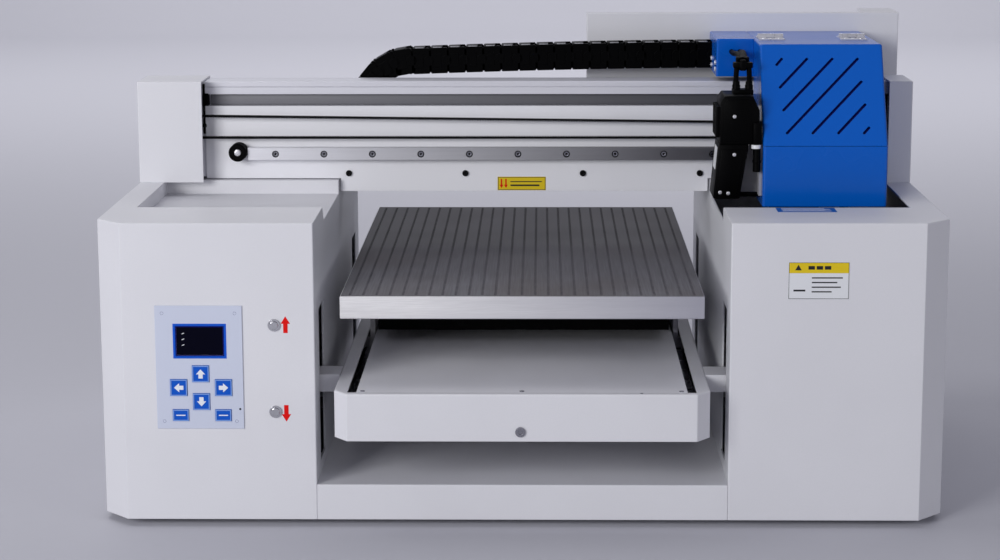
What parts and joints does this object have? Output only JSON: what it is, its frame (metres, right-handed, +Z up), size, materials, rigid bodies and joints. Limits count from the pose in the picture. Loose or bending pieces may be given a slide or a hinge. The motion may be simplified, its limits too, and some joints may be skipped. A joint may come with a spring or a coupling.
{
  "type": "flatbed uv printer",
  "caption": "Flatbed UV printer: two-tower white casing, fixed gantry with a sliding blue print carriage and UV lamp, and a vacuum bed that slides and lifts.",
  "frame": {"origin": "middle of the bounding box's bottom, on the surface the feet stand on", "axes": "+X to the printer's right seen from the operator's side, +Y towards the back, +Z up; the operator stands at -Y"},
  "size_m": [0.949, 0.69, 0.545],
  "materials": {
    "casing_paint": "satin powder coat, off-white",
    "inner_paint": "satin powder coat, warm grey-white",
    "beam_aluminium": "anodised extrusion",
    "rail_steel": "ground steel",
    "hinge_steel": "brushed stainless",
    "black_steel": "black oxide",
    "blue_paint": "satin powder coat, strong blue",
    "black_plastic": "matt black",
    "chain_plastic": "moulded nylon",
    "bed_aluminium": "milled, hard anodised",
    "rubber": "matt",
    "belt_rubber": "matt",
    "panel_film": "printed overlay",
    "key_film": "printed blue key",
    "screen": "dark display window",
    "motor_metal": "black",
    "lamp_plate": "light grey"
  },
  "bodies": {
    "frame": {"base_pan": "casing_paint", "bay_floor": "casing_paint", "beam": "beam_aluminium", "beam_face_plate": "casing_paint", "beam_screws": "black_steel", "bumper": "rubber", "button_bezels": "rail_steel", "capping_station": "black_plastic", "carriage_rail": "rail_steel", "chain_lower": "chain_plastic", "chain_shelf": "beam_aluminium", "control_panel": "panel_film", "display_glass": "screen", "drive_belt": "belt_rubber", "drive_motors": "motor_metal", "feet": "rubber", "left_end_box": "casing_paint", "left_inner_wall": "inner_paint", "left_tower_cover": "casing_paint", "power_supply": "motor_metal", "rail_screws": "rail_steel", "rear_cabinet": "casing_paint", "right_end_box": "casing_paint", "right_inner_wall": "inner_paint", "right_tower_cover": "casing_paint"},
    "carriage": {"carriage_plate": "black_steel", "carriage_blocks": "rail_steel", "print_head": "black_plastic", "head_cover": "blue_paint", "hinge_back_leaves": "hinge_steel", "chain_bracket": "blue_paint", "uv_lamp": "black_plastic", "lamp_bracket": "lamp_plate", "lamp_hoses": "belt_rubber", "chain_upper": "chain_plastic"},
    "lid": {"head_lid": "blue_paint", "hinge_lid_leaves": "hinge_steel"},
    "chain_loop": {"chain_bend": "chain_plastic"},
    "drive_wheel": {"drive_pulley": "bed_aluminium"},
    "idler_wheel": {"idler_pulley": "bed_aluminium"},
    "lift": {"tray_shell": "casing_paint", "tray_cover": "casing_paint", "tray_screws": "rail_steel", "lift_arms": "casing_paint", "bed_rails": "rail_steel", "bed_motor": "motor_metal"},
    "bed": {"vacuum_table": "bed_aluminium", "vacuum_box": "black_plastic", "bed_supports": "bed_aluminium"},
    "bed_drive": {"bed_screw": "rail_steel"},
    "left_screw": {"left_lift_screw": "rail_steel"},
    "right_screw": {"right_lift_screw": "rail_steel"},
    "keypad_up": {"key_up": "key_film"},
    "keypad_down": {"key_down": "key_film"},
    "keypad_left": {"key_left": "key_film"},
    "keypad_right": {"key_right": "key_film"},
    "keypad_cancel": {"key_cancel": "key_film"},
    "keypad_enter": {"key_enter": "key_film"},
    "button_up": {"lift_button_up": "rail_steel"},
    "button_down": {"lift_button_down": "rail_steel"}
  },
  "joints": [
    {"name": "carriage_slide", "type": "slide", "parent": "frame", "child": "carriage", "axis": [1, 0, 0], "range_m": [-0.53, 0], "deforming": ["chain_upper"]},
    {"name": "lid_hinge", "type": "hinge", "parent": "carriage", "child": "lid", "pos_m": [0.35, 0.0152, 0.5252], "axis": [-1, 0, 0], "range_deg": [0, 80]},
    {"name": "chain_roll", "type": "slide", "parent": "frame", "child": "chain_loop", "axis": [1, 0, 0], "range_m": [-0.265, 0], "deforming": ["chain_lower"]},
    {"name": "drive_wheel_spin", "type": "hinge", "parent": "frame", "child": "drive_wheel", "pos_m": [0.432, 0.042, 0.4078], "axis": [0, 1, 0], "range_deg": [-10, 3440]},
    {"name": "idler_wheel_spin", "type": "hinge", "parent": "frame", "child": "idler_wheel", "pos_m": [-0.432, 0.042, 0.413], "axis": [0, 1, 0], "range_deg": [-10, 2170]},
    {"name": "lift_travel", "type": "slide", "parent": "frame", "child": "lift", "axis": [0, 0, 1], "range_m": [-0.05, 0.06]},
    {"name": "left_screw_spin", "type": "hinge", "parent": "frame", "child": "left_screw", "pos_m": [-0.272, 0.012, 0.0685], "axis": [0, 0, 1], "range_deg": [-4330, 3610]},
    {"name": "right_screw_spin", "type": "hinge", "parent": "frame", "child": "right_screw", "pos_m": [0.272, 0.012, 0.0685], "axis": [0, 0, 1], "range_deg": [-4330, 3610]},
    {"name": "bed_slide", "type": "slide", "parent": "lift", "child": "bed", "axis": [0, 1, 0], "range_m": [-0.29, 0.19]},
    {"name": "bed_screw_spin", "type": "hinge", "parent": "lift", "child": "bed_drive", "pos_m": [0, -0.003, 0.13], "axis": [0, 1, 0], "range_deg": [-6850, 10450]},
    {"name": "key_up_press", "type": "slide", "parent": "frame", "child": "keypad_up", "axis": [0, 1, 0], "range_m": [0, 0.0005], "stiffness_N_per_m": 600, "springref_m": -0.001},
    {"name": "key_down_press", "type": "slide", "parent": "frame", "child": "keypad_down", "axis": [0, 1, 0], "range_m": [0, 0.0005], "stiffness_N_per_m": 600, "springref_m": -0.001},
    {"name": "key_left_press", "type": "slide", "parent": "frame", "child": "keypad_left", "axis": [0, 1, 0], "range_m": [0, 0.0005], "stiffness_N_per_m": 600, "springref_m": -0.001},
    {"name": "key_right_press", "type": "slide", "parent": "frame", "child": "keypad_right", "axis": [0, 1, 0], "range_m": [0, 0.0005], "stiffness_N_per_m": 600, "springref_m": -0.001},
    {"name": "key_cancel_press", "type": "slide", "parent": "frame", "child": "keypad_cancel", "axis": [0, 1, 0], "range_m": [0, 0.0005], "stiffness_N_per_m": 600, "springref_m": -0.001},
    {"name": "key_enter_press", "type": "slide", "parent": "frame", "child": "keypad_enter", "axis": [0, 1, 0], "range_m": [0, 0.0005], "stiffness_N_per_m": 600, "springref_m": -0.001},
    {"name": "lift_button_up_press", "type": "slide", "parent": "frame", "child": "button_up", "axis": [0, 1, 0], "range_m": [0, 0.0015], "stiffness_N_per_m": 800, "springref_m": -0.002},
    {"name": "lift_button_down_press", "type": "slide", "parent": "frame", "child": "button_down", "axis": [0, 1, 0], "range_m": [0, 0.0015], "stiffness_N_per_m": 800, "springref_m": -0.002}
  ],
  "couplings": [
    {"joint": "chain_roll", "follows": "carriage_slide", "ratio": 0.5},
    {"joint": "drive_wheel_spin", "follows": "carriage_slide", "rad_per_m": -112.99},
    {"joint": "idler_wheel_spin", "follows": "carriage_slide", "rad_per_m": -71.174},
    {"joint": "left_screw_spin", "follows": "lift_travel", "rad_per_m": -1256.6},
    {"joint": "right_screw_spin", "follows": "lift_travel", "rad_per_m": -1256.6},
    {"joint": "bed_screw_spin", "follows": "bed_slide", "rad_per_m": -628.32}
  ]
}
